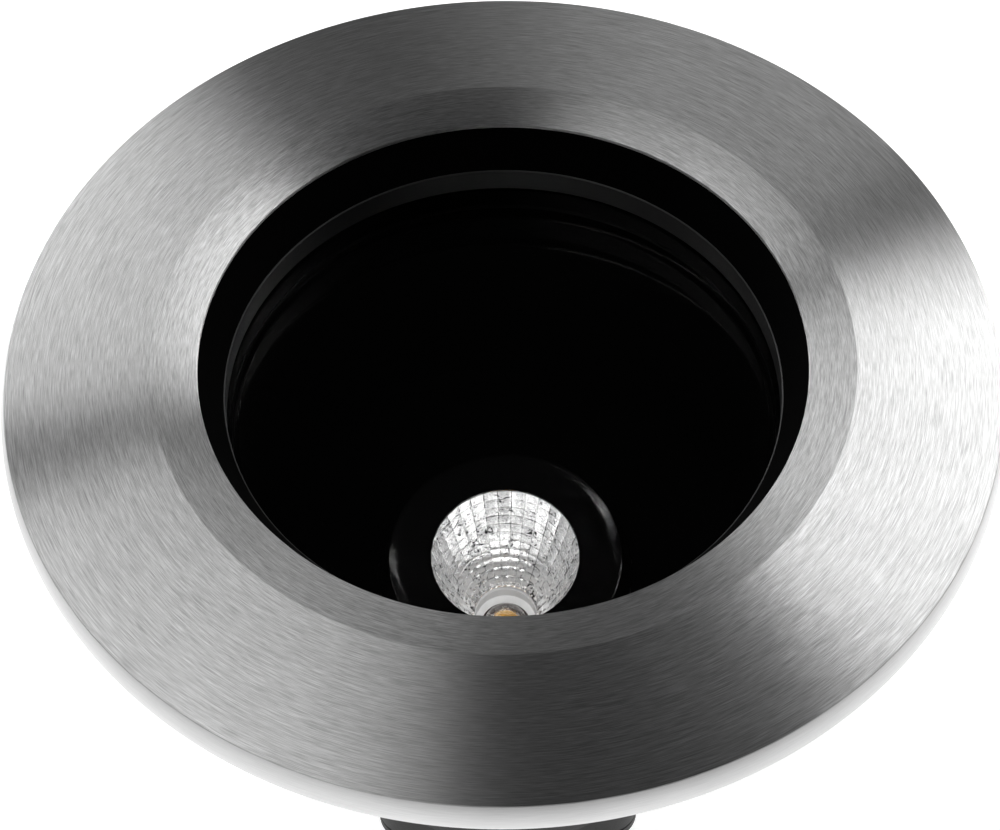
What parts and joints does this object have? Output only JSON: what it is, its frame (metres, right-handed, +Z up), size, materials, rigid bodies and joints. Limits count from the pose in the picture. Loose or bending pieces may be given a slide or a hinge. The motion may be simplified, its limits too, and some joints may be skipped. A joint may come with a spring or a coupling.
{
  "type": "recessed light",
  "caption": "Round in-ground uplight: brushed steel cover ring, deep black recess with clear glass, tilting and turning lamp head in a cast pot with a driver box below.",
  "frame": {"origin": "centre of the flange's bolt circle, on the underside of the mounting flange", "axes": "+Z up, out of the ground along the light's axis; -Y is the side the lamp head leans to; the cable glands point along +Y"},
  "size_m": [0.2426, 0.2426, 0.2167],
  "materials": {
    "brushed_stainless": "fine circular brushing",
    "spring_steel": "smooth rolled",
    "steel_sheet": "zinc plated sheet",
    "stainless_screws": "turned, plain",
    "brass": "turned",
    "matt_black": "deep matt black",
    "satin_black_metal": "satin black powder coat",
    "gloss_black": "gloss black lacquer",
    "cast_black": "fine textured black powder coat",
    "black_rubber": "matt",
    "clear_glass": "clear toughened, polished",
    "bright_aluminium": "bright anodised facets",
    "white_plastic": "satin",
    "board_brown": "dark brown solder mask",
    "clear_silicone": "clear cast silicone",
    "phosphor": "silicone over yellow phosphor",
    "thermal_grey": "soft pad",
    "sink_aluminium": "raw extruded and turned",
    "driver_plastic": "fine texture",
    "terminal_plastic": "smooth",
    "black_plastic": "moulded polyamide",
    "lead_sheath": "smooth sheath"
  },
  "bodies": {
    "fixture": {"ring_gasket": "black_rubber", "recess_collar": "matt_black", "glass_frame": "satin_black_metal", "frame_screws": "stainless_screws", "frame_gasket": "black_rubber", "glass_gasket_upper": "black_rubber", "glass_pane": "clear_glass", "glass_gasket_lower": "black_rubber", "housing": "cast_black", "chamber_liner": "matt_black", "deck_plate": "matt_black", "pan_stop_pin": "stainless_screws", "pan_spacer": "white_plastic", "spring_washer": "spring_steel", "pan_nut": "brass", "pan_spindle": "brass", "driver_box": "cast_black", "driver_box_gasket": "black_rubber", "driver_box_screws": "stainless_screws", "lead_grommet": "black_rubber", "output_lead": "lead_sheath", "led_driver": "driver_plastic", "driver_strap": "spring_steel", "strap_screws": "stainless_screws", "terminal_block": "terminal_plastic", "terminal_screws": "stainless_screws", "terminal_fixings": "stainless_screws", "input_leads": "lead_sheath", "base_gasket": "black_rubber", "base_plate": "cast_black", "base_screws": "stainless_screws", "breather_plug": "black_plastic", "earth_screw": "stainless_screws", "gland_body_left": "black_plastic", "gland_body_right": "black_plastic", "gland_seal_left": "black_rubber", "gland_seal_right": "black_rubber", "gland_nut_left": "black_plastic", "gland_nut_right": "black_plastic", "gland_locknut_left": "black_plastic", "gland_locknut_right": "black_plastic"},
    "cover": {"trim_ring": "brushed_stainless", "ring_clips": "spring_steel"},
    "turntable": {"tilt_yoke": "steel_sheet"},
    "lamp_head": {"lamp_collar": "gloss_black", "reflector": "bright_aluminium", "cob_holder": "white_plastic", "holder_screws": "stainless_screws", "cob_board": "board_brown", "phosphor_disc": "phosphor", "led_dome": "clear_silicone", "thermal_pad": "thermal_grey", "heatsink": "sink_aluminium", "head_posts": "stainless_screws", "head_screws": "stainless_screws", "tilt_screws": "stainless_screws", "tilt_washers": "white_plastic"}
  },
  "joints": [
    {"name": "cover_lift", "type": "slide", "parent": "fixture", "child": "cover", "axis": [0, 0, 1], "range_m": [0, 0.03]},
    {"name": "head_pan", "type": "hinge", "parent": "fixture", "child": "turntable", "pos_m": [0, 0, -0.0863], "axis": [0, 0, 1], "range_deg": [-170, 170]},
    {"name": "head_tilt", "type": "hinge", "parent": "turntable", "child": "lamp_head", "pos_m": [0, 0, -0.0863], "axis": [1, 0, 0], "range_deg": [-22, 8]}
  ]
}
